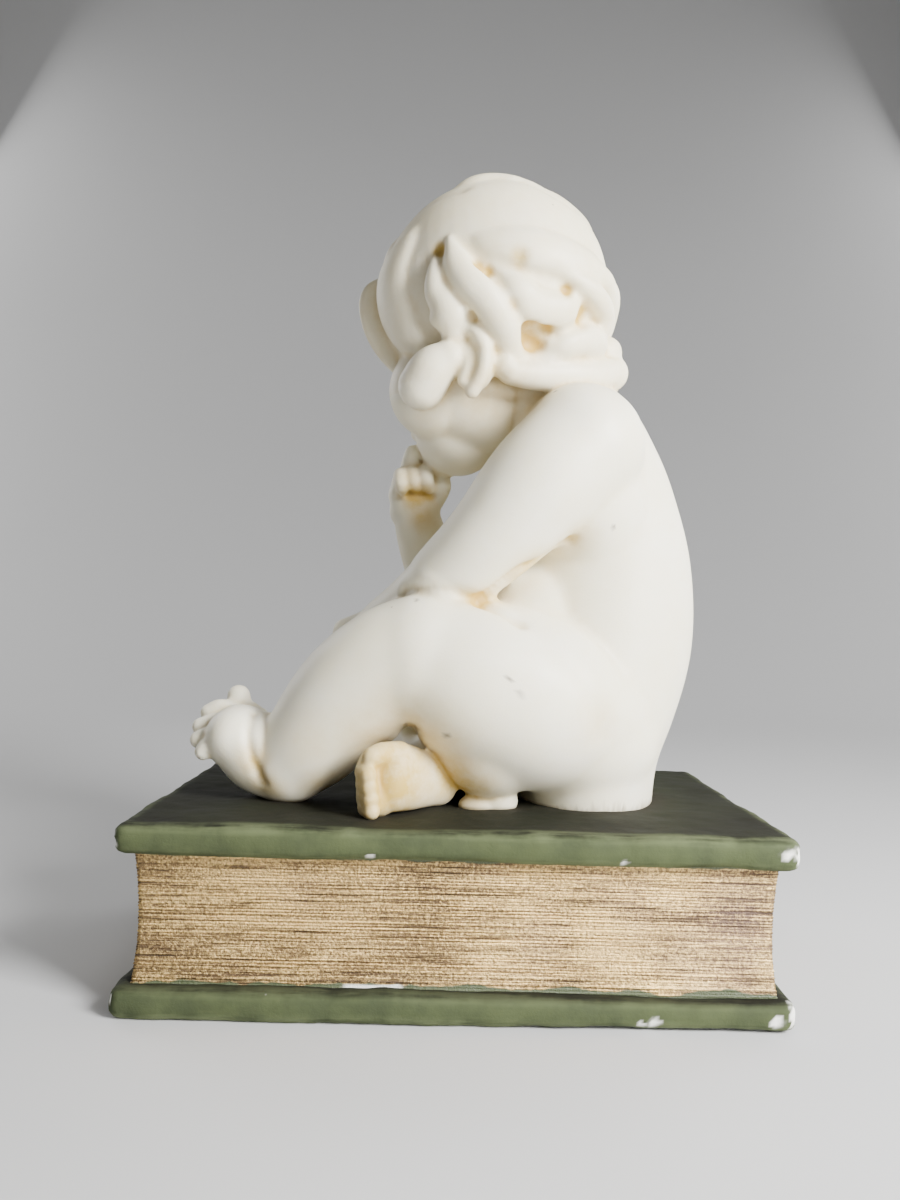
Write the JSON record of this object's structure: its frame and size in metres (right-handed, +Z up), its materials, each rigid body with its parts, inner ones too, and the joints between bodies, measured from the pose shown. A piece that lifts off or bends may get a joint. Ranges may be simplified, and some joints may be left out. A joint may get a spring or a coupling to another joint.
{
  "type": "bisque girl figurine",
  "caption": "Cream bisque figurine of a small seated child, knee raised and chin on hand, on a closed green book with gilt leaves.",
  "frame": {"origin": "middle of the book's underside, on the table", "axes": "+Z up; the fore edge of the leaves faces -Y and the spine +Y; the child faces -X"},
  "size_m": [0.13, 0.08, 0.177],
  "materials": {
    "bisque": "unglazed cream bisque with a waxy satin sheen",
    "painted_book": "matt olive-green paint on the covers, rubbed gilt on the leaves"
  },
  "bodies": {
    "root": {"child_figure": "bisque", "book_plinth": "painted_book"}
  },
  "joints": []
}
